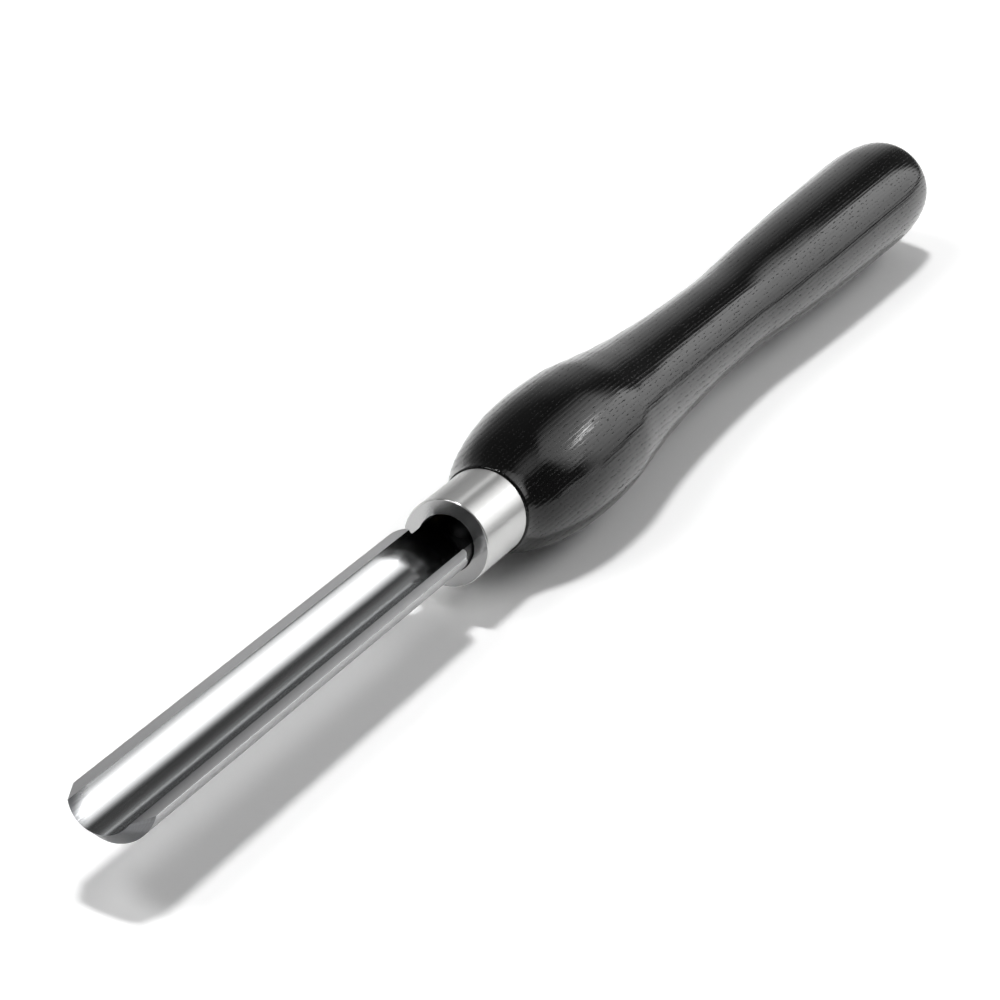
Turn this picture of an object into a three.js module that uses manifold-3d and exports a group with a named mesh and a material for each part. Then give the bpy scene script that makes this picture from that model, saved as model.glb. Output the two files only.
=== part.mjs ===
// A wood turner's spindle gouge: a fluted steel blade on a turned ash handle, with a steel ferrule between.
// Lengths are in millimetres and +Z is up, with the flute open upwards and the handle towards +X.
// Inside the model the tool's own axis is the X axis, and x = 0 is the ferrule's front face.
import * as THREE from 'three';
import { mergeVertices } from 'three/addons/utils/BufferGeometryUtils.js';
import Module from 'manifold-3d';

const wasm = await Module();
wasm.setup();

// Clearance between pieces that touch on the real tool
const seatGap = 0.3;
// How far a cutting or joining solid runs past what it meets
const overrun = 3;

// Blade section: a round outside, a rounder flute inside and two flat lands on top
const bladeWidth = 22;
const arcRise = 4.85;
const landDrop = 0.6;
const landWidth = 2.85;
const floorThickness = 5.3;
const bladeReach = 184;
const arcSteps = 28;

// Ground end: the edge is the flute's own outline, and the bevel runs back from it to the outside
const noseBevelLength = 6.5;
const wingBevelLength = 7.2;
const wingTrail = 1;

// Shoulders turned at the back of the blade, and the neck that enters the ferrule
const shoulderStart = 14.4;
const shoulderLength = 6.8;
const shoulderFillet = 1.2;
const neckInside = 18;
const shoulderSteps = 8;
const filletSteps = 4;

// Round tang that holds the blade in the handle
const tangDiameter = 11;
const tangLength = 80;
const tangChamfer = 0.8;
const flutePocketDepth = 7;
const fluteRunout = 9;
const runoutSteps = 6;

// Ferrule: a turned sleeve with a thick front wall
const ferruleDiameter = 25.5;
const ferruleLength = 24.7;
const ferruleFrontWall = 8;
const ferruleSkirtWall = 1.6;
const ferruleHoleDiameter = 16.6;
const ferruleChamfer = 0.45;

// Handle: turned ash, with a nose against the ferrule, a bulge, a waist and a butt
const handleLength = 341;
const noseDiameter = 26.6;
const noseRound = 0.7;
const noseSteps = 2;
const bulgeDiameter = 44.2;
const bulgePlace = 50;
const waistDiameter = 29.3;
const waistPlace = 180;
const buttDiameter = 37;
const buttRoundLength = 26;
const buttRoundDepth = 3;
const buttDome = 0.6;
const buttFlatDiameter = 12;
const buttSteps = 7;
const tangBoreSpare = 4;
const adhesiveWall = 1;

// How the handle's outline rises and falls between those places:
// each pair is a share of the way along and a share of the change in radius
const riseShares = [[0.15, 0.22], [0.26, 0.46], [0.4, 0.67], [0.58, 0.845], [0.78, 0.955]];
const fallShares = [[0.1, 0.035], [0.234, 0.28], [0.39, 0.58], [0.586, 0.8], [0.81, 0.955]];
const swellShares = [[0.298, 0.358], [0.538, 0.709], [0.778, 0.87]];
const stepsBetweenKnots = 2;
const roundSegments = 40;

// Places that follow from the sizes above
const bladeRadius = bladeWidth / 2;
const ferruleRadius = ferruleDiameter / 2;
const holeRadius = ferruleHoleDiameter / 2;
const skirtRadius = ferruleRadius - ferruleSkirtWall;
const neckRadius = holeRadius - seatGap;
const tangRadius = tangDiameter / 2;
const landHeight = arcRise - landDrop;
const bladeBottom = arcRise - bladeRadius;
const fluteFloor = bladeBottom + floorThickness;
const landOuter = Math.sqrt(bladeRadius ** 2 - landDrop ** 2);
const landInner = landOuter - landWidth;
const fluteDepth = landHeight - fluteFloor;
const fluteRadius = (landInner ** 2 + fluteDepth ** 2) / (2 * fluteDepth);
const handleFront = ferruleLength + seatGap;
const handleEnd = handleFront + handleLength;
const tenonRadius = skirtRadius - seatGap;
const tenonFront = ferruleFrontWall + seatGap;
const boreRadius = tangRadius + adhesiveWall + 2 * seatGap;
const mouthEnd = neckInside + seatGap;
const boreEnd = tangLength + tangBoreSpare;

// A turned solid about the X axis, from pairs of place along the axis and radius
function turned(outline) {
  const points = outline.map(([along, radius]) => new THREE.Vector2(radius, along));
  return new THREE.LatheGeometry(points, roundSegments);
}

// Points on a quarter of an ellipse, from one end to the other, both included
function quarter(centreAlong, centreRadius, reachAlong, reachRadius, steps, fromAlong) {
  const points = [];
  for (let step = 0; step <= steps; step++) {
    const angle = (Math.PI / 2) * (step / steps);
    const alongPart = fromAlong ? Math.cos(angle) : Math.sin(angle);
    const radiusPart = fromAlong ? Math.sin(angle) : Math.cos(angle);
    points.push([centreAlong + reachAlong * alongPart, centreRadius + reachRadius * radiusPart]);
  }
  return points;
}

// A closed mesh as a solid that can be joined and cut
function solidOf(geometry) {
  const plain = geometry.clone();
  plain.deleteAttribute('normal');
  plain.deleteAttribute('uv');
  const merged = mergeVertices(plain);
  return new wasm.Manifold(new wasm.Mesh({
    numProp: 3,
    vertProperties: new Float32Array(merged.attributes.position.array),
    triVerts: new Uint32Array(merged.index.array),
  }));
}

function geometryOf(solid) {
  const mesh = solid.getMesh();
  const geometry = new THREE.BufferGeometry();
  geometry.setAttribute('position', new THREE.BufferAttribute(new Float32Array(mesh.vertProperties), 3));
  geometry.setIndex(new THREE.BufferAttribute(new Uint32Array(mesh.triVerts), 1));
  geometry.computeVertexNormals();
  return geometry;
}

// One of the two round sides of the channel, from the left land down and up to the right land.
// Each point is [y, z, how far up the wall it is, as a share]
function channelSide(radius, centreHeight) {
  const bottom = centreHeight - radius;
  const start = Math.asin((landHeight - centreHeight) / radius);
  const points = [];
  for (let step = 0; step <= arcSteps; step++) {
    const angle = start - (Math.PI + 2 * start) * (step / arcSteps);
    const y = radius * Math.cos(angle);
    const z = centreHeight + radius * Math.sin(angle);
    points.push([y, z, (z - bottom) / (landHeight - bottom)]);
  }
  return points;
}

// The channel: flute side and outer side, from the ground end to inside the ferrule
function channelGeometry() {
  const flute = channelSide(fluteRadius, fluteFloor + fluteRadius);
  const outer = channelSide(bladeRadius, arcRise);
  const edgeAt = (rise) => -bladeReach + wingTrail * rise;
  const bevelAt = (rise) => edgeAt(rise) + noseBevelLength + (wingBevelLength - noseBevelLength) * rise;
  const positions = [];
  for (const [y, z, rise] of flute) positions.push(edgeAt(rise), y, z);
  for (const [y, z, rise] of outer) positions.push(bevelAt(rise), y, z);
  for (const [y, z] of flute) positions.push(neckInside, y, z);
  for (const [y, z] of outer) positions.push(neckInside, y, z);
  const row = arcSteps + 1;
  const [fluteFront, outerFront, fluteBack, outerBack] = [0, row, 2 * row, 3 * row];
  const index = [];
  const quad = (a, b, c, d) => index.push(a, b, c, a, c, d);
  for (let step = 0; step < arcSteps; step++) {
    const next = step + 1;
    quad(fluteFront + step, fluteFront + next, fluteBack + next, fluteBack + step);
    quad(outerFront + next, outerFront + step, outerBack + step, outerBack + next);
    quad(outerFront + step, outerFront + next, fluteFront + next, fluteFront + step);
    quad(fluteBack + step, fluteBack + next, outerBack + next, outerBack + step);
  }
  quad(fluteFront, fluteBack, outerBack, outerFront);
  quad(outerFront + arcSteps, outerBack + arcSteps, fluteBack + arcSteps, fluteFront + arcSteps);
  const geometry = new THREE.BufferGeometry();
  geometry.setAttribute('position', new THREE.Float32BufferAttribute(positions, 3));
  geometry.setIndex(index);
  return geometry;
}

// What the lathe leaves of the channel: all of it ahead of the shoulders, then rounded shoulders and a neck
function shoulderEnvelope() {
  const shoulderTop = Math.hypot(landOuter, landHeight);
  const shoulderFoot = neckRadius + shoulderFillet;
  const shoulderFace = shoulderLength - shoulderStart;
  const shoulder = quarter(-shoulderStart, shoulderFoot, shoulderLength, shoulderTop - shoulderFoot,
    shoulderSteps, false);
  const fillet = quarter(shoulderFace + shoulderFillet, shoulderFoot, -shoulderFillet, -shoulderFillet,
    filletSteps, true);
  return turned([
    [-bladeReach - overrun, 0],
    [-bladeReach - overrun, shoulderTop + overrun],
    [-shoulderStart, shoulderTop + overrun],
    ...shoulder,
    ...fillet.slice(1),
    [neckInside + overrun, neckRadius],
    [neckInside + overrun, 0],
  ]).rotateZ(-Math.PI / 2);
}

// The tang rises out of the flute's floor with a rounded run-out and ends in a small chamfer
function tangGeometry() {
  const runoutEnd = flutePocketDepth + fluteRunout;
  return turned([
    ...quarter(runoutEnd, 0, -fluteRunout, tangRadius, runoutSteps, true),
    [tangLength - tangChamfer, tangRadius],
    [tangLength, tangRadius - tangChamfer],
    [tangLength, 0],
  ]).rotateZ(-Math.PI / 2);
}

function bladeGeometry() {
  const channel = solidOf(channelGeometry());
  const shouldered = channel.intersect(solidOf(shoulderEnvelope()));
  return geometryOf(shouldered.add(solidOf(tangGeometry())));
}

function ferruleGeometry() {
  const rim = ferruleRadius - ferruleChamfer;
  return turned([
    [0, holeRadius],
    [0, rim],
    [ferruleChamfer, ferruleRadius],
    [ferruleLength, ferruleRadius],
    [ferruleLength, skirtRadius],
    [ferruleFrontWall, skirtRadius],
    [ferruleFrontWall, holeRadius],
    [0, holeRadius],
  ]);
}

// Glue sleeve that fills the bore round the tang
function adhesiveGeometry() {
  const inner = tangRadius + seatGap;
  const outer = boreRadius - seatGap;
  const front = mouthEnd + seatGap;
  return turned([
    [front, inner],
    [front, outer],
    [tangLength, outer],
    [tangLength, inner],
    [front, inner],
  ]);
}

// The outline of the handle from its nose to the start of the rounded butt
function handleOutline() {
  const roundStart = handleEnd - buttDome - buttRoundLength;
  const stations = [
    [handleFront + noseRound, noseDiameter / 2],
    [handleFront + bulgePlace, bulgeDiameter / 2],
    [handleFront + waistPlace, waistDiameter / 2],
    [roundStart, buttDiameter / 2],
  ];
  const between = [riseShares, fallShares, swellShares];
  const knots = [];
  for (let stretch = 0; stretch < between.length; stretch++) {
    const [fromAlong, fromRadius] = stations[stretch];
    const [toAlong, toRadius] = stations[stretch + 1];
    knots.push(new THREE.Vector2(fromAlong, fromRadius));
    for (const [alongShare, radiusShare] of between[stretch]) {
      knots.push(new THREE.Vector2(
        fromAlong + (toAlong - fromAlong) * alongShare,
        fromRadius + (toRadius - fromRadius) * radiusShare,
      ));
    }
  }
  knots.push(new THREE.Vector2(...stations[between.length]));
  const steps = stepsBetweenKnots * (knots.length - 1);
  return new THREE.SplineCurve(knots).getPoints(steps).map((point) => [point.x, point.y]);
}

function handleGeometry() {
  const noseRadius = noseDiameter / 2;
  const buttRadius = buttDiameter / 2;
  const mouthRadius = neckRadius + seatGap;
  const nose = quarter(handleFront + noseRound, noseRadius - noseRound, -noseRound, noseRound,
    noseSteps, true);
  const butt = quarter(handleEnd - buttDome - buttRoundLength, buttRadius - buttRoundDepth,
    buttRoundLength, buttRoundDepth, buttSteps, false);
  return turned([
    [boreEnd, 0],
    [boreEnd, boreRadius],
    [mouthEnd, boreRadius],
    [mouthEnd, mouthRadius],
    [tenonFront, mouthRadius],
    [tenonFront, tenonRadius],
    [handleFront, tenonRadius],
    ...nose.slice(0, -1),
    ...handleOutline(),
    ...butt.slice(1),
    [handleEnd, buttFlatDiameter / 2],
    [handleEnd, 0],
  ]);
}

// Finishes
const toolSteel = new THREE.MeshStandardMaterial({ color: 0xc8cacc, roughness: 0.2, metalness: 1 });
const turnedSteel = new THREE.MeshStandardMaterial({ color: 0xd2d2d0, roughness: 0.28, metalness: 1 });
const stainedAsh = new THREE.MeshStandardMaterial({ color: 0x151413, roughness: 0.3, metalness: 0 });
const curedEpoxy = new THREE.MeshStandardMaterial({ color: 0xb7a77c, roughness: 0.6, metalness: 0 });

function named(name, geometry, material) {
  const mesh = new THREE.Mesh(geometry, material);
  mesh.name = name;
  return mesh;
}

// Turned pieces are made about Y, so this group lays that axis along X
const turnedPieces = new THREE.Group();
turnedPieces.rotation.z = -Math.PI / 2;
turnedPieces.add(
  named('ferrule', ferruleGeometry(), turnedSteel),
  named('handle', handleGeometry(), stainedAsh),
  named('tang_adhesive', adhesiveGeometry(), curedEpoxy),
);

// The origin is under the middle of the whole length, where the bulge touches a table
const gouge = new THREE.Group();
gouge.position.set((bladeReach - handleEnd) / 2, 0, bulgeDiameter / 2);
gouge.add(named('blade', bladeGeometry(), toolSteel), turnedPieces);

export default gouge;
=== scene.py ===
import math

import bmesh
import bpy
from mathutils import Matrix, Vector


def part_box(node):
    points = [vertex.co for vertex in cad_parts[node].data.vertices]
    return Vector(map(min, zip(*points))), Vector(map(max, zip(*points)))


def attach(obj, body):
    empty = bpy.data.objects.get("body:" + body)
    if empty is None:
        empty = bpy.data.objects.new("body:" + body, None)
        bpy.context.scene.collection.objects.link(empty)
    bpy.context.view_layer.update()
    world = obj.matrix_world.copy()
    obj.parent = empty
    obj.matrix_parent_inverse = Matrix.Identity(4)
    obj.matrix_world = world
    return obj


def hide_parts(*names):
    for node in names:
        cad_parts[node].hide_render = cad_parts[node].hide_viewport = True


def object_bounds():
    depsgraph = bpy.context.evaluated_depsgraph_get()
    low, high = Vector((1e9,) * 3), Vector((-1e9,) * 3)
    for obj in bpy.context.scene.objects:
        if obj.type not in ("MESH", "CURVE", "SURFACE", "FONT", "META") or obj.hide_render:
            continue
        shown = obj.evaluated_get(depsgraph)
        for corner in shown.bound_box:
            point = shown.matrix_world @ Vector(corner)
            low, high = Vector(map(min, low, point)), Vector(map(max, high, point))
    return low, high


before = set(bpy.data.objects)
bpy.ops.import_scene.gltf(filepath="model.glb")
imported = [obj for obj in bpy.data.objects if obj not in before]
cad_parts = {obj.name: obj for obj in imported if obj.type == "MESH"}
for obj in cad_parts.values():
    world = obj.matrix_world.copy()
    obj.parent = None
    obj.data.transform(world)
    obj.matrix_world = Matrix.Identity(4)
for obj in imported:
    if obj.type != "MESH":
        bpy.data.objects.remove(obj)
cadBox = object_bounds()
print("frame loaded:", ", ".join(sorted(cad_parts)))

mm = 0.001
mergeReach = 0.002 * mm
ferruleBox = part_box("ferrule")
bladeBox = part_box("blade")

# lengths along the tool count from the ferrule's front face, in millimetres, as they do on the real one
faceX = ferruleBox[0].x
axisZ = (ferruleBox[0].z + ferruleBox[1].z) / 2
tip = (bladeBox[0].x - faceX) / mm


def alongTool(distance):
    return faceX + distance * mm


# helpers for modelling

def deselectAll():
    if bpy.context.object and bpy.context.object.mode != "OBJECT":
        bpy.ops.object.mode_set(mode="OBJECT")
    bpy.ops.object.select_all(action="DESELECT")


# names the primitive just added, moves its place into its mesh and opens it
def openNew(name):
    piece = bpy.context.object
    piece.name = piece.data.name = name
    bpy.ops.object.transform_apply(location=True, rotation=True, scale=True)
    bpy.ops.object.mode_set(mode="EDIT")
    return piece


# selects what passes a test: faces by middle and normal, edges by both ends, points by place and normal
def pick(piece, test, kind="FACE"):
    bpy.ops.mesh.select_mode(type=kind)
    bpy.ops.mesh.select_all(action="DESELECT")
    mesh = bmesh.from_edit_mesh(piece.data)
    if kind == "FACE":
        found = [f for f in mesh.faces if test(f.calc_center_median(), f.normal)]
    elif kind == "EDGE":
        found = [e for e in mesh.edges if test(e.verts[0].co, e.verts[1].co)]
    else:
        found = [v for v in mesh.verts if test(v.co, v.normal)]
    for item in found:
        item.select_set(True)
    mesh.select_flush_mode()
    bmesh.update_edit_mesh(piece.data)


# merges doubles, turns faces outwards and smooths all but the real edges
def closeUp(piece, angle=30):
    bpy.ops.mesh.select_all(action="SELECT")
    bpy.ops.mesh.remove_doubles(threshold=mergeReach)
    bpy.ops.mesh.normals_make_consistent(inside=False)
    bpy.ops.object.mode_set(mode="OBJECT")
    bpy.ops.object.shade_smooth_by_angle(angle=math.radians(angle))
    return piece


def useModifier(piece, kind, **settings):
    bpy.context.view_layer.objects.active = piece
    modifier = piece.modifiers.new(kind.lower(), kind)
    for key, value in settings.items():
        setattr(modifier, key, value)
    bpy.ops.object.modifier_apply(modifier=modifier.name)


# a finished piece: its large faces keep their own shading up to the small roundings beside them
def handOver(piece, node):
    deselectAll()
    useModifier(piece, "WEIGHTED_NORMAL", keep_sharp=True)
    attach(piece, "root")
    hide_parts(node)


# turns a piece as on the lathe: a circle is pulled along the axis and opened or closed at each station
# the outline is pairs of place and radius, and a ring's outline ends where it starts
def turn(name, outline, sides, ring=False):
    deselectAll()
    place, radius = outline[0]
    bpy.ops.mesh.primitive_circle_add(
        vertices=sides, radius=radius * mm, fill_type="NOTHING" if ring else "NGON",
        location=(alongTool(place), 0, axisZ), rotation=(0, math.pi / 2, 0))
    piece = openNew(name)
    bpy.ops.mesh.select_mode(type="EDGE")
    bpy.ops.mesh.select_all(action="SELECT")
    for nextPlace, nextRadius in outline[1:]:
        bpy.ops.mesh.extrude_edges_move()
        bpy.ops.transform.translate(value=((nextPlace - place) * mm, 0, 0))
        grow = nextRadius / radius
        bpy.ops.transform.resize(value=(1, grow, grow), center_override=(alongTool(nextPlace), 0, axisZ))
        place, radius = nextPlace, nextRadius
    if not ring:
        bpy.ops.mesh.edge_face_add()
    return closeUp(piece)


# a rounded corner of an outline: points on a quarter of an ellipse about (along, radius)
def corner(along, radius, reachAlong, reachRadius, steps, fromAlong):
    points = []
    for step in range(steps + 1):
        angle = math.pi / 2 * step / steps
        a, r = (math.cos(angle), math.sin(angle)) if fromAlong else (math.sin(angle), math.cos(angle))
        points.append((along + reachAlong * a, radius + reachRadius * r))
    return points


def giveMaterials(piece, *materials):
    piece.data.materials.clear()
    for material in materials:
        piece.data.materials.append(material)


# gives the faces that pass a test one of the piece's materials, by its place in the list, counted from zero
def paint(piece, slot, test):
    bpy.ops.object.mode_set(mode="EDIT")
    pick(piece, test)
    piece.active_material_index = slot
    bpy.ops.object.material_slot_assign()
    bpy.ops.object.mode_set(mode="OBJECT")


# helpers for materials

softStep = dict(interpolation_type="SMOOTHSTEP")
colourMix = dict(data_type="RGBA")  # its two colours go into sockets 6 and 7, and it gives the third output
noiseSpan = (0.3, 0.7)  # nearly all of a noise lies between these
waveLength = math.pi / 10  # of a wave texture at scale 1


def linear(hexColour):
    channels = [int(hexColour[i:i + 2], 16) / 255 for i in (1, 3, 5)]
    return (*[c / 12.92 if c <= 0.04045 else ((c + 0.055) / 1.055) ** 2.4 for c in channels], 1)


# sockets go by their words without spaces, or as in0, in1 and so on, and take a value, an output or a node,
# whose first output is meant; stops are a ramp's places and greys from its start to its end
def addNode(tree, kind, settings=None, stops=(), **sockets):
    node = tree.nodes.new(kind)
    for key, value in (settings or {}).items():
        setattr(node, key, value)
    for place, grey in stops[1:-1]:
        node.color_ramp.elements.new(place)
    for count, (place, grey) in enumerate(stops):
        node.color_ramp.elements[count].position = place
        node.color_ramp.elements[count].color = (grey, grey, grey, 1)
    byName = {s.name.replace(" ", ""): s for s in reversed(node.inputs)}
    byName.update({f"in{i}": s for i, s in enumerate(node.inputs)})
    for key, value in sockets.items():
        if isinstance(value, bpy.types.Node):
            value = value.outputs[0]
        if isinstance(value, bpy.types.NodeSocket):
            tree.links.new(value, byName[key])
        else:
            byName[key].default_value = value
    return node


def newMaterial(name):
    material = bpy.data.materials.new(name)
    material.use_nodes = True
    tree = material.node_tree
    tree.nodes.clear()
    place = addNode(tree, "ShaderNodeTexCoord").outputs["Object"]
    return material, tree, place


def finishMaterial(material, tree, shader):
    addNode(tree, "ShaderNodeOutputMaterial", Surface=shader)
    return material


# a Mapping's scale for marks of this width and length in millimetres, which lie along the tool
def markScale(width, length):
    return 1 / (length * mm), 1 / (width * mm), 1 / (width * mm)


# steel with fine marks in one direction: the marks vary the gloss and the relief, and the gloss
# spreads across them, so that a reflection is drawn out sideways from the marks
# the tangent is the tool's axis unless a piece gives its own, and it only counts through a link
def makeSteel(look, marks, tree, material, tangent=None, colour=None, paintedCornerShade=None):
    tangent = tangent or addNode(tree, "ShaderNodeCombineXYZ", X=1)
    rough = addNode(tree, "ShaderNodeMapRange", Value=marks, FromMin=noiseSpan[0], FromMax=noiseSpan[1],
                    ToMin=look["roughness"][0], ToMax=look["roughness"][1])
    # where the corner of the edge is painted with shade, it is rougher too
    if paintedCornerShade:
        rough = addNode(tree, "ShaderNodeMapRange", Value=paintedCornerShade, ToMin=rough,
                        ToMax=paintedCornerShadeLook["roughness"])
    relief = addNode(tree, "ShaderNodeBump", Height=marks, Distance=look["relief"] * mm, Strength=1)
    shader = addNode(tree, "ShaderNodeBsdfPrincipled", BaseColor=colour or linear(look["colour"]),
                     Metallic=look.get("metallic", 1), Roughness=rough, Normal=relief,
                     Anisotropic=look["drawnOut"], AnisotropicRotation=look["turned"], Tangent=tangent)
    return finishMaterial(material, tree, shader)


# high-speed steel polished lengthways: a soft mirror with faint streaks along the tool,
# drawn coarser than a mop leaves them so that they show
polishedLook = dict(
    colour="#c3c4c5", roughness=(0.13, 0.18), relief=0.003, drawnOut=0.5, turned=0.25,
    streakWidth=0.4, streakLength=40,
)
# the outside of the bar: rougher than the flute, and its darker grey is painted shade on its reflections
drawnLook = dict(
    colour="#a5a5a6", roughness=(0.3, 0.4), relief=0.004, drawnOut=0.3, turned=0.25,
    streakWidth=0.5, streakLength=60,
)
# painted shade: a darker, rougher grey inside the left corner of the edge, for a dark reflection there;
# it grows from the middle to the left and fades over its reach behind the edge, and the streaks fray it
paintedCornerShadeLook = dict(
    colour="#606163", roughness=0.4, behindEdge=(0.5, 9.5), fades=(0.25, 1.25),
    leftOfMiddle=(1, 8), grows=1.2, frayed=0.5,
)


def findPaintedCornerShade(tree, place, streaks):
    look = paintedCornerShadeLook
    parts = addNode(tree, "ShaderNodeSeparateXYZ", Vector=place).outputs
    front, back = (alongTool(tip + reach) for reach in look["behindEdge"])
    behind = addNode(tree, "ShaderNodeMapRange", dict(clamp=False), Value=parts["X"],
                     FromMin=front, FromMax=back, ToMin=look["fades"][0], ToMax=look["fades"][1])
    right, left = (reach * mm for reach in look["leftOfMiddle"])
    onLeft = addNode(tree, "ShaderNodeMapRange", Value=parts["Y"], FromMin=right, FromMax=left,
                     ToMax=look["grows"])
    frayed = addNode(tree, "ShaderNodeMath", dict(operation="MULTIPLY_ADD"), in0=streaks,
                     in1=look["frayed"], in2=onLeft)
    reached = addNode(tree, "ShaderNodeMath", dict(operation="SUBTRACT"), in0=frayed, in1=behind)
    return addNode(tree, "ShaderNodeMapRange", softStep, Value=reached)


def makeStreakedSteel(name, look, nearEdge):
    material, tree, place = newMaterial(name)
    stretched = addNode(tree, "ShaderNodeMapping", Vector=place,
                        Scale=markScale(look["streakWidth"], look["streakLength"]))
    streaks = addNode(tree, "ShaderNodeTexNoise", Vector=stretched, Scale=1, Detail=3, Roughness=0.6)
    if not nearEdge:
        return makeSteel(look, streaks, tree, material)
    # paints the darker grey of shade into the edge's left corner
    paintedCornerShade = findPaintedCornerShade(tree, place, streaks)
    colour = addNode(tree, "ShaderNodeMix", colourMix, Factor=paintedCornerShade,
                     in6=linear(look["colour"]), in7=linear(paintedCornerShadeLook["colour"]))
    return makeSteel(look, streaks, tree, material, colour=colour.outputs[2], paintedCornerShade=paintedCornerShade)


# the same steel as the grinding wheel leaves it: even grey, with short scratches that slant over the land,
# drawn coarser than real ones so that they show; painted reflection and shade lie over it: the shares of
# the light grey run from the bar's right side to its left, and the land's front end is the darkest
groundLook = dict(
    colour="#e4e4e5", darkColour="#7e7e80", roughness=(0.42, 0.52), relief=0.02, drawnOut=0.3, turned=0.25,
    scratchWidth=0.3, scratchLength=2.5, slant=52, lighterBehind=0.6,
    lightShares=[(0, 0.7), (0.13, 0.05), (0.5, 0.7), (1, 0.75)],
)


def makeGroundSteel():
    look = groundLook
    material, tree, place = newMaterial("hssGroundLand")
    slanted = addNode(tree, "ShaderNodeMapping", Vector=place, Rotation=(0, 0, math.radians(look["slant"])))
    stretched = addNode(tree, "ShaderNodeMapping", Vector=slanted,
                        Scale=markScale(look["scratchWidth"], look["scratchLength"]))
    scratches = addNode(tree, "ShaderNodeTexNoise", Vector=stretched, Scale=1, Detail=2, Roughness=0.6)
    parts = addNode(tree, "ShaderNodeSeparateXYZ", Vector=place).outputs
    # painted reflection and shade: the right land is darkest at its inner side near the tip, and both lands
    # grow lighter towards the ferrule
    fromRight = addNode(tree, "ShaderNodeMapRange", Value=parts["Y"],
                        FromMin=-bladeRadius * mm, FromMax=bladeRadius * mm)
    sideways = addNode(tree, "ShaderNodeValToRGB", Fac=fromRight, stops=look["lightShares"])
    behind = addNode(tree, "ShaderNodeMapRange", Value=parts["X"], FromMin=alongTool(tip), FromMax=faceX,
                     ToMax=look["lighterBehind"])
    light = addNode(tree, "ShaderNodeMath", dict(operation="ADD", use_clamp=True), in0=sideways, in1=behind)
    colour = addNode(tree, "ShaderNodeMix", colourMix, Factor=light,
                     in6=linear(look["darkColour"]), in7=linear(look["colour"]))
    return makeSteel(look, scratches, tree, material, colour=colour.outputs[2])


# the sharpened bevel, with the wheel's marks as arcs along the edge: its dark grey is partly ground steel
# and partly painted shade, for the shadowed floor that it mirrors
bevelLook = dict(
    colour="#6a6b6d", roughness=(0.28, 0.4), relief=0.012, drawnOut=0.4, turned=0, arcPitch=0.4,
)


def makeBevelSteel():
    look = bevelLook
    material, tree, place = newMaterial("hssGroundBevel")
    centre = axisZ + blade["arcRise"] * mm
    centred = addNode(tree, "ShaderNodeMapping", Vector=place, Location=(0, 0, -centre))
    arcs = addNode(tree, "ShaderNodeTexWave", dict(wave_type="RINGS", rings_direction="X"), Vector=centred,
                   Scale=waveLength / (look["arcPitch"] * mm), Distortion=6, Detail=3, DetailScale=0.6)
    return makeSteel(look, arcs.outputs["Fac"], tree, material)


# steel turned on the lathe: fine rings round the axis, seen as bands on the barrel and as rings on the face
turnedLook = dict(
    colour="#cfcfce", metallic=0.86, roughness=(0.26, 0.3), relief=0.0015, drawnOut=0.95, turned=0,
    ringPitch=0.25,
)
facedLook = dict(
    colour="#b8b8b8", roughness=(0.15, 0.19), relief=0.0015, drawnOut=0.9, turned=0, ringPitch=0.3,
)
# painted shade: a dark dull grey for the steel inside the ferrule and the rim of its hole, where shade
# falls
paintedShadeInsideLook = dict(colour="#4b4b4c", roughness=(0.4, 0.5), relief=0.004, drawnOut=0, turned=0, ringPitch=0.5)


def makeTurnedSteel(name, look, onFace):
    material, tree, place = newMaterial(name)
    centred = addNode(tree, "ShaderNodeMapping", Vector=place, Location=(0, 0, -axisZ))
    pattern = dict(wave_type="BANDS", bands_direction="X")
    if onFace:
        pattern = dict(wave_type="RINGS", rings_direction="X")
    rings = addNode(tree, "ShaderNodeTexWave", pattern, Vector=centred, Distortion=3, Detail=2,
                    DetailScale=1.5, Scale=waveLength / (look["ringPitch"] * mm)).outputs["Fac"]
    if not onFace:
        return makeSteel(look, rings, tree, material)
    outwards = addNode(tree, "ShaderNodeVectorMath", dict(operation="MULTIPLY"), in0=centred, in1=(0, 1, 1))
    return makeSteel(look, rings, tree, material, tangent=outwards)


# ring-porous ash stained black under a thin gloss lacquer that leaves the pores open: a black mirror,
# ruled along the grain by rows of dull dashes, one row for each growth ring
# rings: their pith beside and above the axis, their width, how far they sway, over what width, which
# swayStretch draws out along the tool, and the share of early wood from one ring's start to the next
# pores: their share of a cell in late wood, what early wood adds to it, and how soft their edge is
ashLook = dict(
    colour="#0a0a0a", roughness=0.08, earlyRoughness=0.16, gloss=0.27,
    pith=(128, 96), ringWidth=1.25, sway=2, swayWidth=100 / 3, swayStretch=0.12,
    earlyShares=[(0, 0.2), (0.1, 1), (0.42, 0.8), (0.57, 0), (0.9, 0), (1, 0.2)],
    poreColour="#030303", poreRoughness=0.85, poreWidth=0.34, poreLength=3.2,
    latePore=0.02, earlyPore=0.3, poreEdge=(-0.04, 0.08),
    rippleWidth=0.6, rippleLength=25, ringRelief=0.013, poreRelief=0.012, rippleRelief=0.022,
)


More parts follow.
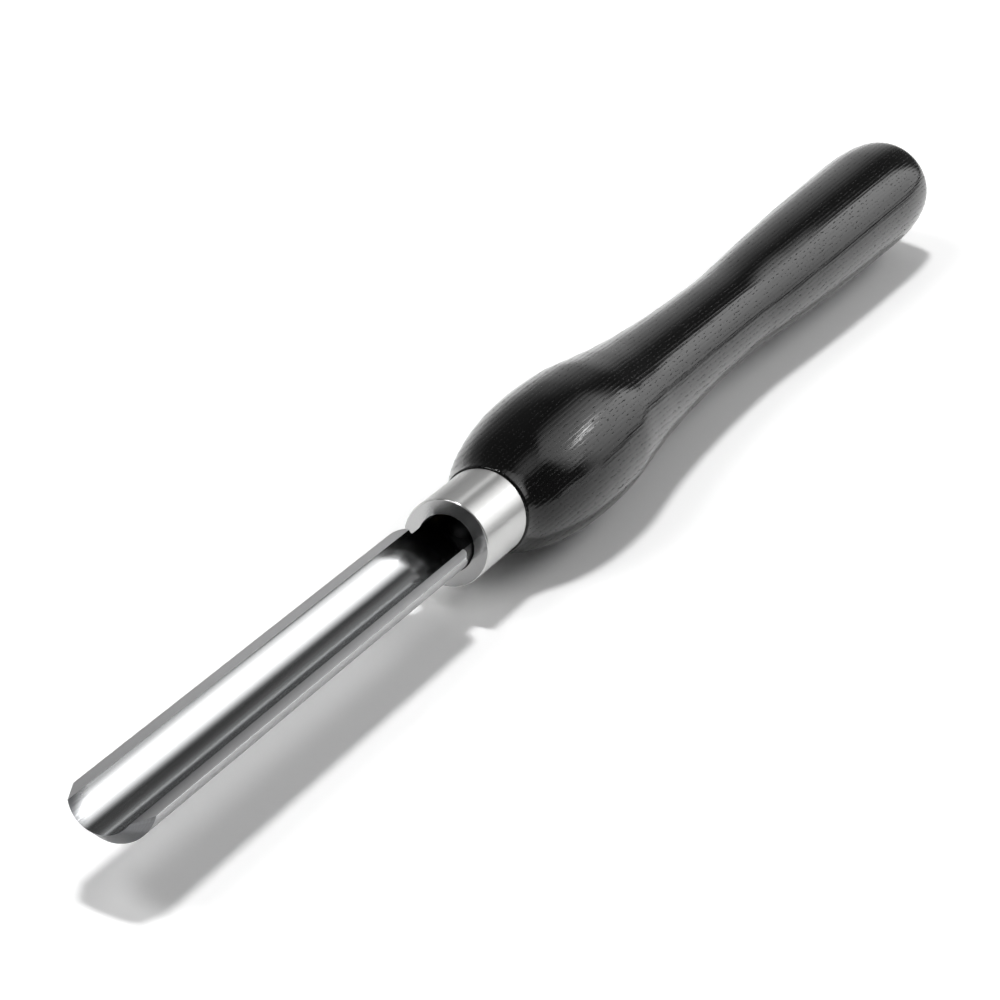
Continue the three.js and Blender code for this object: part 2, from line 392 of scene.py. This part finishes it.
def makeStainedAsh():
    look = ashLook
    material, tree, place = newMaterial("ashStainedBlack")
    # growth rings about a pith far outside the handle, so that they stand on edge towards the lens
    pithY, pithZ = look["pith"][0] * mm, look["pith"][1] * mm + axisZ
    aboutPith = addNode(tree, "ShaderNodeMapping", Vector=place, Location=(0, -pithY, -pithZ),
                        Scale=(look["swayStretch"], 1, 1))
    wander = addNode(tree, "ShaderNodeTexNoise", Vector=aboutPith, Scale=1 / (look["swayWidth"] * mm),
                     Detail=1)
    sway = (0, look["sway"] * mm, look["sway"] * mm)
    wandered = addNode(tree, "ShaderNodeVectorMath", dict(operation="MULTIPLY_ADD"),
                       in0=wander.outputs["Color"], in1=sway, in2=aboutPith)
    flat = addNode(tree, "ShaderNodeVectorMath", dict(operation="MULTIPLY"), in0=wandered, in1=(0, 1, 1))
    distance = addNode(tree, "ShaderNodeVectorMath", dict(operation="LENGTH"), in0=flat)
    rings = addNode(tree, "ShaderNodeMath", dict(operation="DIVIDE"), in0=distance.outputs["Value"],
                    in1=look["ringWidth"] * mm)
    phase = addNode(tree, "ShaderNodeMath", dict(operation="FRACT"), in0=rings)
    early = addNode(tree, "ShaderNodeValToRGB", Fac=phase, stops=look["earlyShares"])
    # pores are long thin tubes along the grain, wide and crowded in the early wood
    inCells = addNode(tree, "ShaderNodeMapping", Vector=place,
                      Scale=markScale(look["poreWidth"], look["poreLength"]))
    cells = addNode(tree, "ShaderNodeTexVoronoi", Vector=inCells, Scale=1, Randomness=1)
    poreSize = addNode(tree, "ShaderNodeMath", dict(operation="MULTIPLY_ADD"), in0=early,
                       in1=look["earlyPore"], in2=look["latePore"])
    inside = addNode(tree, "ShaderNodeMath", dict(operation="SUBTRACT"), in0=poreSize,
                     in1=cells.outputs["Distance"])
    pore = addNode(tree, "ShaderNodeMapRange", Value=inside, FromMin=look["poreEdge"][0],
                   FromMax=look["poreEdge"][1])
    # the lacquer lies in fine ripples along the grain, sunken a little over the early wood and the pores
    drawn = addNode(tree, "ShaderNodeMapping", Vector=place,
                    Scale=markScale(look["rippleWidth"], look["rippleLength"]))
    ripple = addNode(tree, "ShaderNodeTexNoise", Vector=drawn, Scale=1, Detail=2, Roughness=0.55)
    height = addNode(tree, "ShaderNodeMath", dict(operation="MULTIPLY"), in0=ripple,
                     in1=look["rippleRelief"])
    for source, relief in ((early, look["ringRelief"]), (pore, look["poreRelief"])):
        height = addNode(tree, "ShaderNodeMath", dict(operation="MULTIPLY_ADD"), in0=source, in1=-relief,
                         in2=height)
    bumps = addNode(tree, "ShaderNodeBump", Height=height, Distance=mm, Strength=1)
    colour = addNode(tree, "ShaderNodeMix", colourMix, Factor=pore,
                     in6=linear(look["colour"]), in7=linear(look["poreColour"]))
    earlyRough = addNode(tree, "ShaderNodeMapRange", Value=early, ToMin=look["roughness"],
                         ToMax=look["earlyRoughness"])
    rough = addNode(tree, "ShaderNodeMapRange", Value=pore, ToMin=earlyRough, ToMax=look["poreRoughness"])
    shader = addNode(tree, "ShaderNodeBsdfPrincipled", BaseColor=colour.outputs[2], Roughness=rough,
                     SpecularIORLevel=look["gloss"], IOR=1.5, Normal=bumps)
    return finishMaterial(material, tree, shader)


# cured epoxy round the tang, out of sight inside the handle: amber, a little cloudy
epoxyLook = dict(colour="#b59a5c", cloudColour="#9c8146", cloud=2.5, roughness=0.35)


def makeEpoxy():
    look = epoxyLook
    material, tree, place = newMaterial("epoxyCured")
    clouds = addNode(tree, "ShaderNodeTexNoise", Vector=place, Scale=1 / (look["cloud"] * mm), Detail=2)
    colour = addNode(tree, "ShaderNodeMix", colourMix, Factor=clouds,
                     in6=linear(look["colour"]), in7=linear(look["cloudColour"]))
    shader = addNode(tree, "ShaderNodeBsdfPrincipled", BaseColor=colour.outputs[2],
                     Roughness=look["roughness"])
    return finishMaterial(material, tree, shader)


# blade: a round bar with a rounder flute, two ground lands, a bevelled end, lathe-cut shoulders and a tang
blade = dict(
    width=22, arcRise=4.85, landDrop=0.6, landWidth=2.85, floorThickness=5.3,
    noseBevel=6.5, wingBevel=7.2, wingTrail=1, edgeRounding=0.1, arcSteps=120,
    shoulderStart=14.4, shoulderLength=6.8, shoulderFillet=1.2, neckRadius=8, neckInside=18,
    tangRadius=5.5, tangLength=80, tangChamfer=0.8, pocketDepth=7, runout=9,
    sides=192, tangSides=96, shoulderSteps=24, filletSteps=10, runoutSteps=12, roundingSteps=3,
)
# lengths that only serve the modelling: how far the sheets run past the tip, the envelope past the blade,
# how near the lands' height an edge has to lie, and how long a long edge is at least
spare = dict(atTip=1, around=3, inFront=5, onLand=0.05, longEdge=50)
bladeRadius = blade["width"] / 2
landHeight = blade["arcRise"] - blade["landDrop"]
landOuter = math.sqrt(bladeRadius ** 2 - blade["landDrop"] ** 2)
landZ = axisZ + landHeight * mm


# one long edge on the left land is spun under the blade to the right land
def makeBladeSheet(name, radius, centre, front, back):
    deselectAll()
    planeSize = 1
    bpy.ops.mesh.primitive_plane_add(size=planeSize, location=(alongTool((front + back) / 2), 0, landZ))
    bpy.context.object.scale = ((back - front) * mm, 1, 1)
    sheet = openNew(name)
    pick(sheet, lambda co, no: co.y < 0, "VERT")
    bpy.ops.mesh.delete(type="VERT")
    bpy.ops.mesh.select_all(action="SELECT")
    halfWidth = math.sqrt(radius ** 2 - (landHeight - centre) ** 2)
    bpy.ops.transform.translate(value=(0, halfWidth * mm - planeSize / 2, 0))
    belowCentre = math.asin((centre - landHeight) / radius)
    bpy.ops.mesh.spin(steps=blade["arcSteps"], angle=math.pi - 2 * belowCentre,
                      center=(0, 0, axisZ + centre * mm), axis=(1, 0, 0))
    return sheet


# cuts the open sheet's front end on a plane from the nose at its lowest line to the wings at the lands
def trimEnd(bottom, nose, wing):
    bpy.ops.mesh.select_all(action="SELECT")
    slope = (wing - nose) / (landHeight - bottom)
    bpy.ops.mesh.bisect(plane_co=(alongTool(nose), 0, axisZ + bottom * mm), plane_no=(-1, 0, slope),
                        clear_outer=True, use_fill=False)


def makeBladeBody():
    bottom = blade["arcRise"] - bladeRadius
    floor = bottom + blade["floorThickness"]
    landInner = landOuter - blade["landWidth"]
    depth = landHeight - floor
    fluteRadius = (landInner ** 2 + depth ** 2) / (2 * depth)
    front = tip - spare["atTip"]
    outer = makeBladeSheet("blade_body", bladeRadius, blade["arcRise"], front, blade["neckInside"])
    trimEnd(bottom, tip + blade["noseBevel"], tip + blade["wingTrail"] + blade["wingBevel"])
    flute = makeBladeSheet("flute", fluteRadius, floor + fluteRadius, front, blade["neckInside"])
    trimEnd(floor, tip, tip + blade["wingTrail"])
    deselectAll()
    flute.select_set(True)
    outer.select_set(True)
    bpy.context.view_layer.objects.active = outer
    bpy.ops.object.join()
    bpy.ops.object.mode_set(mode="EDIT")
    bpy.ops.mesh.select_mode(type="EDGE")
    bpy.ops.mesh.select_all(action="DESELECT")
    bpy.ops.mesh.select_non_manifold()
    bpy.ops.mesh.bridge_edge_loops()
    bpy.ops.mesh.select_all(action="SELECT")
    bpy.ops.mesh.normals_make_consistent(inside=False)
    # the outer long edges of the lands are just broken by the polishing mop, and all others stay sharp
    landMiddle = (landInner + landOuter) / 2
    pick(outer, lambda a, b: max(abs(a.z - landZ), abs(b.z - landZ)) < spare["onLand"] * mm
         and abs(a.x - b.x) > spare["longEdge"] * mm and abs(a.y) > landMiddle * mm, "EDGE")
    bpy.ops.mesh.bevel(offset=blade["edgeRounding"] * mm, segments=blade["roundingSteps"], affect="EDGES",
                       clamp_overlap=True)
    return closeUp(outer)


# the lathe's share of the blade: shoulders and neck, then the tang
def turnShoulders(body):
    b = blade
    top = math.hypot(landOuter, landHeight)
    around = top + spare["around"]
    foot = b["neckRadius"] + b["shoulderFillet"]
    face = b["shoulderLength"] - b["shoulderStart"]
    fillet = b["shoulderFillet"]
    envelope = turn("envelope", [
        (tip - spare["inFront"], around),
        (-b["shoulderStart"], around),
        *corner(-b["shoulderStart"], foot, b["shoulderLength"], top - foot, b["shoulderSteps"], False),
        *corner(face + fillet, foot, -fillet, -fillet, b["filletSteps"], True)[1:],
        (b["neckInside"] + spare["around"], b["neckRadius"]),
    ], b["sides"])
    runoutEnd = b["pocketDepth"] + b["runout"]
    tang = turn("tang", [
        *corner(runoutEnd, 0, -b["runout"], b["tangRadius"], b["runoutSteps"], True)[1:],
        (b["tangLength"] - b["tangChamfer"], b["tangRadius"]),
        (b["tangLength"], b["tangRadius"] - b["tangChamfer"]),
    ], b["tangSides"])
    for tool, operation in ((envelope, "INTERSECT"), (tang, "UNION")):
        deselectAll()
        useModifier(body, "BOOLEAN", object=tool, operation=operation, solver="EXACT")
        bpy.data.objects.remove(tool)
    body.select_set(True)
    bpy.ops.object.mode_set(mode="EDIT")
    return closeUp(body, angle=24)


bladeBody = turnShoulders(makeBladeBody())
paintedShadeInsideSteel = makeTurnedSteel("steelPaintedShadeInside", paintedShadeInsideLook, onFace=False)
giveMaterials(
    bladeBody, makeStreakedSteel("hssPolished", polishedLook, nearEdge=True), makeGroundSteel(),
    makeBevelSteel(), makeStreakedSteel("hssDrawn", drawnLook, nearEdge=False), paintedShadeInsideSteel)

# the flute keeps the polish, and the lands, the bevel, the outside of the bar and all that is inside
# the ferrule, which gets painted shade, are told by where a face is and which way it looks
finish = dict(landNear=0.02, bevelReach=12, insideFrom=0.5, level=0.99, upwards=0.3, aslant=0.2)
paint(bladeBody, 1, lambda at, way: way.z > finish["level"]
      and abs(at.z - landZ) < finish["landNear"] * mm)
paint(bladeBody, 2, lambda at, way: at.x < alongTool(tip + finish["bevelReach"])
      and way.x < -finish["aslant"])
paint(bladeBody, 3, lambda at, way: way.y * at.y + way.z * (at.z - landZ) > 0
      and way.z < finish["upwards"] and abs(way.x) < finish["aslant"])
# all of the blade inside the ferrule gets the painted shade
paint(bladeBody, 4, lambda at, way: at.x > alongTool(finish["insideFrom"]))
handOver(bladeBody, "blade")
print("blade made,", len(bladeBody.data.polygons), "faces")


# ferrule: a turned sleeve with a thick front wall and a polished rounding on its front rim
# a face looks along the tool if the share of its normal in that direction is over faceShare
ferrule = dict(radius=12.75, length=24.7, frontWall=8, skirtRadius=11.15, holeRadius=8.3,
               frontRounding=0.45, backRounding=0.2, holeChamfer=0.2, frontSteps=4, backSteps=3, sides=192,
               innerReach=0.1, faceShare=0.95)


def makeFerrule():
    f = ferrule
    front, back = f["frontRounding"], f["backRounding"]
    return turn("ferrule_sleeve", [
        (0, f["holeRadius"] + f["holeChamfer"]),
        (0, f["radius"] - front),
        *corner(front, f["radius"] - front, -front, front, f["frontSteps"], True)[1:],
        *corner(f["length"] - back, f["radius"] - back, back, back, f["backSteps"], False),
        (f["length"], f["skirtRadius"]),
        (f["frontWall"], f["skirtRadius"]),
        (f["frontWall"], f["holeRadius"]),
        (f["holeChamfer"], f["holeRadius"]),
        (0, f["holeRadius"] + f["holeChamfer"]),
    ], f["sides"], ring=True)


ferruleBody = makeFerrule()
giveMaterials(
    ferruleBody, makeTurnedSteel("steelTurnedBarrel", turnedLook, onFace=False),
    makeTurnedSteel("steelFacedFront", facedLook, onFace=True), paintedShadeInsideSteel)
# the hole's rim and bore get the painted shade of the inside
innerRadius = ferrule["skirtRadius"] + ferrule["innerReach"]
paint(ferruleBody, 1, lambda at, way: abs(way.x) > ferrule["faceShare"])
paint(ferruleBody, 2, lambda at, way: math.hypot(at.y, at.z - axisZ) < innerRadius * mm
      and abs(way.x) < ferrule["faceShare"])
handOver(ferruleBody, "ferrule")
print("ferrule made")


# handle: its outline is pairs of place and radius along the tool, smoothed between them
handle = dict(
    front=25, noseRound=0.7, end=366, roundLength=26, roundDepth=3, flatRadius=6,
    outline=[(25.7, 13.3), (28, 13.75), (32, 15.1), (38, 17.3), (45, 19.1), (54, 20.75), (64, 21.75),
             (75, 22.1), (88, 21.8), (105, 20), (125, 17.8), (150, 16.1), (180, 14.95), (205, 14.65),
             (240, 15.95), (270, 17.15), (300, 17.95), (325, 18.35), (339.4, 18.5)],
    tenonRadius=10.85, tenonFront=8.3, mouthRadius=8.3, mouthEnd=18.3, boreRadius=7.1, boreEnd=84,
    step=3, noseSteps=5, roundSteps=24, sides=192,
)


# a curve that passes through every point without overshoot, in parts of about one step
def smoothOutline(points, step):
    slopes = [(b[1] - a[1]) / (b[0] - a[0]) for a, b in zip(points, points[1:])]
    tangents = [slopes[0]]
    for before, after in zip(slopes, slopes[1:]):
        tangents.append(0 if before * after <= 0 else 2 * before * after / (before + after))
    tangents.append(0)
    smooth = []
    for a, b, fromSlope, toSlope in zip(points, points[1:], tangents, tangents[1:]):
        span = b[0] - a[0]
        parts = max(2, round(span / step))
        for part in range(parts):
            t = part / parts
            ends = a[1] * (1 + 2 * t) * (1 - t) ** 2 + b[1] * t * t * (3 - 2 * t)
            slants = fromSlope * t * (1 - t) ** 2 + toSlope * t * t * (t - 1)
            smooth.append((a[0] + span * t, ends + span * slants))
    return smooth + [points[-1]]


def makeHandle():
    h = handle
    soft = h["noseRound"]
    nose = corner(h["front"] + soft, h["outline"][0][1] - soft, -soft, soft, h["noseSteps"], True)
    roundPlace, buttRadius = h["outline"][-1]
    roundFoot = buttRadius - h["roundDepth"]
    butt = corner(roundPlace, roundFoot, h["roundLength"], h["roundDepth"], h["roundSteps"], False)
    return turn("handle_ash", [
        (h["boreEnd"], h["boreRadius"]),
        (h["mouthEnd"], h["boreRadius"]),
        (h["mouthEnd"], h["mouthRadius"]),
        (h["tenonFront"], h["mouthRadius"]),
        (h["tenonFront"], h["tenonRadius"]),
        (h["front"], h["tenonRadius"]),
        *nose[:-1],
        *smoothOutline(h["outline"], h["step"]),
        *butt[1:],
        (h["end"], h["flatRadius"]),
    ], h["sides"])


handleBody = makeHandle()
giveMaterials(handleBody, makeStainedAsh())
handOver(handleBody, "handle")
print("handle made,", len(handleBody.data.polygons), "faces")

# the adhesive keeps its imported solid, which is out of sight
giveMaterials(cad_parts["tang_adhesive"], makeEpoxy())


# studio: a white sweep under three soft lamps; level is what a lamp alone gives white paper on the floor
# the lens sees the paper a little whiter than it is, and far off as white as the room, so no edge shows
studio = dict(floorSize=6, floorWhite=0.97, floorSeen=1.15, whiteFrom=0.5, whiteBeyond=1.2, roomLevel=0.2)
lamps = dict(
    overhead=dict(towards=(-0.18, 0.17, 1), distance=3, size=0.4, level=0.5),
    leftFront=dict(towards=(-0.68, 0.53, 1), distance=3, size=0.9, level=0.17),
    rightBack=dict(towards=(0.8, -0.45, 0.7), distance=2.4, size=1.1, level=0.15, seenInGloss=False),
)
white = (1, 1, 1, 1)


# one for what the lens sees, straight on, in a reflection or through glass, and zero for plain light
def seenRays(tree):
    rays = addNode(tree, "ShaderNodeLightPath").outputs
    seen = rays["Is Camera Ray"]
    for kind in ("Is Glossy Ray", "Is Transmission Ray"):
        seen = addNode(tree, "ShaderNodeMath", dict(operation="MAXIMUM"), in0=seen, in1=rays[kind])
    return seen


def makeFloor():
    deselectAll()
    bpy.ops.mesh.primitive_plane_add(size=studio["floorSize"], location=(0, 0, cadBox[0].z))
    floor = openNew("sweep")
    bpy.ops.object.mode_set(mode="OBJECT")
    material, tree, place = newMaterial("sweepPaper")
    seen = seenRays(tree)
    grey = addNode(tree, "ShaderNodeMapRange", Value=seen, ToMin=studio["floorWhite"],
                   ToMax=studio["floorSeen"])
    paper = addNode(tree, "ShaderNodeBsdfDiffuse", Color=grey)
    room = addNode(tree, "ShaderNodeEmission", Color=white, Strength=1)
    away = addNode(tree, "ShaderNodeVectorMath", dict(operation="LENGTH"), in0=place)
    far = addNode(tree, "ShaderNodeMapRange", softStep, Value=away.outputs["Value"],
                  FromMin=studio["whiteFrom"], FromMax=studio["whiteBeyond"])
    share = addNode(tree, "ShaderNodeMath", dict(operation="MULTIPLY"), in0=far, in1=seen)
    shader = addNode(tree, "ShaderNodeMixShader", Fac=share, in1=paper, in2=room)
    giveMaterials(floor, finishMaterial(material, tree, shader))


# the room is white where it is seen, also in a reflection, and gives the tool little light
def makeWorld():
    world = bpy.data.worlds.new("whiteRoom")
    bpy.context.scene.world = world
    world.use_nodes = True
    tree = world.node_tree
    tree.nodes.clear()
    level = addNode(tree, "ShaderNodeMapRange", Value=seenRays(tree), ToMin=studio["roomLevel"], ToMax=1)
    background = addNode(tree, "ShaderNodeBackground", Color=white, Strength=level)
    addNode(tree, "ShaderNodeOutputWorld", Surface=background)


def makeLamp(name, setting):
    direction = Vector(setting["towards"]).normalized()
    bpy.ops.object.light_add(type="AREA", location=direction * setting["distance"],
                             rotation=(-direction).to_track_quat("-Z", "Y").to_euler())
    lamp = bpy.context.object
    lamp.name = name
    lamp.data.shape = "DISK"
    lamp.data.size = setting["size"]
    lamp.data.energy = setting["level"] * math.pi ** 2 * setting["distance"] ** 2 / direction.z
    lamp.visible_camera = False
    lamp.visible_glossy = setting.get("seenInGloss", True)


# cards round the tool that only reflections see; levels are height shares and brightness from foot to top
# azimuth is that of a card's middle, 0 beyond the butt and 90 to the left, and fades soften its ends
# a cut takes off the lower left corner: its slope, and where it has gone and where it starts to go
# a glow leaves only a slanting spot of the card: its height, its half length and half width, and its slant
cards = dict(
    softbox=dict(azimuth=-31, distance=1.6, width=1.34, bottom=0.09, top=0.8, fades=(0.1, 0.4),
                 levels=[(0, 1.15), (0.15, 1.2), (0.3, 1.4), (0.53, 2), (0.75, 2.3), (1, 2.9)]),
    lowBoard=dict(azimuth=-52, distance=1.75, width=0.75, bottom=-0.02, top=0.14, fades=(0.15, 0.05),
                  levels=[(0, 1.35), (1, 1.35)]),
    upperSoftbox=dict(azimuth=-22, distance=1.9, width=2.75, bottom=0.8, top=3.25, fades=(1.75, 0.5),
                      cut=(1.6, -1.04, -1.34),
                      levels=[(0, 3.3), (0.15, 3.1), (0.3, 2.8), (0.43, 2.5), (0.6, 2.3), (1, 2)]),
    blackFlag=dict(azimuth=-9, distance=2.6, width=7.4, bottom=-0.02, top=4.5, fades=(0.1, 0.1),
                   levels=[(0, 0.1), (0.3, 0.05), (1, 0.05)]),
    rightFlag=dict(azimuth=-94, distance=2.7, width=5.6, bottom=-0.02, top=4.5, fades=(0.1, 0.1),
                   levels=[(0, 0.12), (1, 0.06)]),
    tubeLamp=dict(azimuth=-32, distance=1.5, width=1.1, bottom=0.6, top=1.5, fades=(0.1, 0.1),
                  glow=dict(height=1.05, halfLength=0.45, halfWidth=0.1, slant=(0.9, -0.43)),
                  levels=[(0, 20), (1, 20)]),
    greyWall=dict(azimuth=50, distance=2.2, width=3, bottom=-0.02, top=3.2, fades=(0.1, 0.4),
                  levels=[(0, 0.78), (0.08, 0.7), (0.12, 0.4), (0.2, 0.28), (0.32, 0.22), (0.4, 0.1),
                          (1, 0.08)]),
    sidePanel=dict(azimuth=19, distance=2.1, width=1.1, bottom=-0.02, top=1.7, fades=(0.3, 0.5),
                   levels=[(0, 0.72), (0.15, 0.66), (0.3, 0.54), (0.47, 0.38), (0.62, 0.22), (0.8, 0.08),
                           (1, 0.05)]),
    darkRoom=dict(azimuth=180, distance=3, width=9, bottom=-0.02, top=4, fades=(1, 1),
                  levels=[(0, 0.06), (1, 0.06)]),
)


def onlyInReflections(sheet):
    sheet.visible_camera = False
    sheet.visible_shadow = False
    sheet.visible_diffuse = False
    sheet.visible_transmission = False


def makeCard(name, card):
    deselectAll()
    azimuth = math.radians(card["azimuth"])
    towards = Vector((math.cos(azimuth), math.sin(azimuth), 0))
    leftwards = Vector((-math.sin(azimuth), math.cos(azimuth), 0))
    height = card["top"] - card["bottom"]
    middle = towards * card["distance"] + Vector((0, 0, card["bottom"] + height / 2))
    bpy.ops.mesh.primitive_plane_add(size=1, location=middle,
                                     rotation=(math.pi / 2, 0, azimuth - math.pi / 2))
    bpy.context.object.scale = (card["width"], height, 1)
    sheet = openNew(name)
    bpy.ops.object.mode_set(mode="OBJECT")
    giveMaterials(sheet, makeCardMaterial(name + "Card", card, towards, leftwards))
    onlyInReflections(sheet)


# a card's borders are values over the card, each with where the card has ended and where it is whole
def makeCardMaterial(name, card, towards, leftwards):
    material, tree, place = newMaterial(name)
    height = addNode(tree, "ShaderNodeSeparateXYZ", Vector=place).outputs["Z"]
    rise = addNode(tree, "ShaderNodeMapRange", Value=height, FromMin=card["bottom"], FromMax=card["top"])
    strength = addNode(tree, "ShaderNodeValToRGB", Fac=rise, stops=card["levels"])
    sideways = addNode(tree, "ShaderNodeVectorMath", dict(operation="DOT_PRODUCT"), in0=place,
                       in1=leftwards).outputs["Value"]
    half = card["width"] / 2
    borders = [(sideways, half, half - card["fades"][0]), (sideways, -half, card["fades"][1] - half)]
    if "cut" in card:
        slope, gone, starts = card["cut"]
        under = addNode(tree, "ShaderNodeMath", dict(operation="MULTIPLY_ADD"), in0=height, in1=-slope,
                        in2=sideways)
        borders.append((under, gone, starts))
    if "glow" in card:
        borders.append((fromGlow(tree, place, card, towards, leftwards), 1, 0))
    shader = addNode(tree, "ShaderNodeEmission", Strength=strength)
    for value, ended, whole in borders:
        kept = addNode(tree, "ShaderNodeMapRange", softStep, Value=value, FromMin=ended, FromMax=whole)
        clear = addNode(tree, "ShaderNodeBsdfTransparent")
        shader = addNode(tree, "ShaderNodeMixShader", Fac=kept, in1=clear, in2=shader)
    return finishMaterial(material, tree, shader)


# zero in the middle of a card's glow and one at its end and side
def fromGlow(tree, place, card, towards, leftwards):
    glow = card["glow"]
    middle = towards * card["distance"] + Vector((0, 0, glow["height"]))
    offset = addNode(tree, "ShaderNodeVectorMath", dict(operation="SUBTRACT"), in0=place, in1=middle)
    run, rise = glow["slant"]
    along = (leftwards * run + Vector((0, 0, rise))) / glow["halfLength"]
    across = (leftwards * -rise + Vector((0, 0, run))) / glow["halfWidth"]
    lengths = [addNode(tree, "ShaderNodeVectorMath", dict(operation="DOT_PRODUCT"), in0=offset,
                       in1=way).outputs["Value"] for way in (along, across)]
    both = addNode(tree, "ShaderNodeCombineXYZ", X=lengths[0], Y=lengths[1])
    return addNode(tree, "ShaderNodeVectorMath", dict(operation="LENGTH"), in0=both).outputs["Value"]


# the ceiling is dark to reflections too, but for the glow above the softboxes
ceilingLook = dict(height=3.3, size=8, level=0.08, glow=1.6, glowPlace=(0.8, -1.5), glowRadius=1.5)


def makeCeiling():
    look = ceilingLook
    deselectAll()
    bpy.ops.mesh.primitive_plane_add(size=look["size"], location=(0, 0, look["height"]),
                                     rotation=(math.pi, 0, 0))
    ceiling = openNew("ceiling")
    bpy.ops.object.mode_set(mode="OBJECT")
    material, tree, place = newMaterial("ceilingCard")
    away = addNode(tree, "ShaderNodeVectorMath", dict(operation="DISTANCE"), in0=place,
                   in1=(*look["glowPlace"], look["height"]))
    level = addNode(tree, "ShaderNodeMapRange", softStep, Value=away.outputs["Value"],
                    FromMin=look["glowRadius"], FromMax=0, ToMin=look["level"], ToMax=look["glow"])
    shader = addNode(tree, "ShaderNodeEmission", Strength=level)
    giveMaterials(ceiling, finishMaterial(material, tree, shader))
    onlyInReflections(ceiling)


# camera: a long lens in front of the edge, to its right and above, looking down the tool
camera = dict(place=(-0.8682, -0.30403, 0.4438), angles=(63.692, -9.21, -64.958), focalLength=124.5,
              near=0.01, far=100)


def makeCamera():
    angles = [math.radians(angle) for angle in camera["angles"]]
    bpy.ops.object.camera_add(location=camera["place"], rotation=angles)
    view = bpy.context.object
    view.data.lens = camera["focalLength"]
    view.data.clip_start = camera["near"]
    view.data.clip_end = camera["far"]
    bpy.context.scene.camera = view


makeFloor()
makeWorld()
for name, setting in lamps.items():
    makeLamp(name + "Lamp", setting)
for name, card in cards.items():
    makeCard(name, card)
makeCeiling()
makeCamera()
bpy.context.scene.view_settings.view_transform = "Standard"
print("studio set")
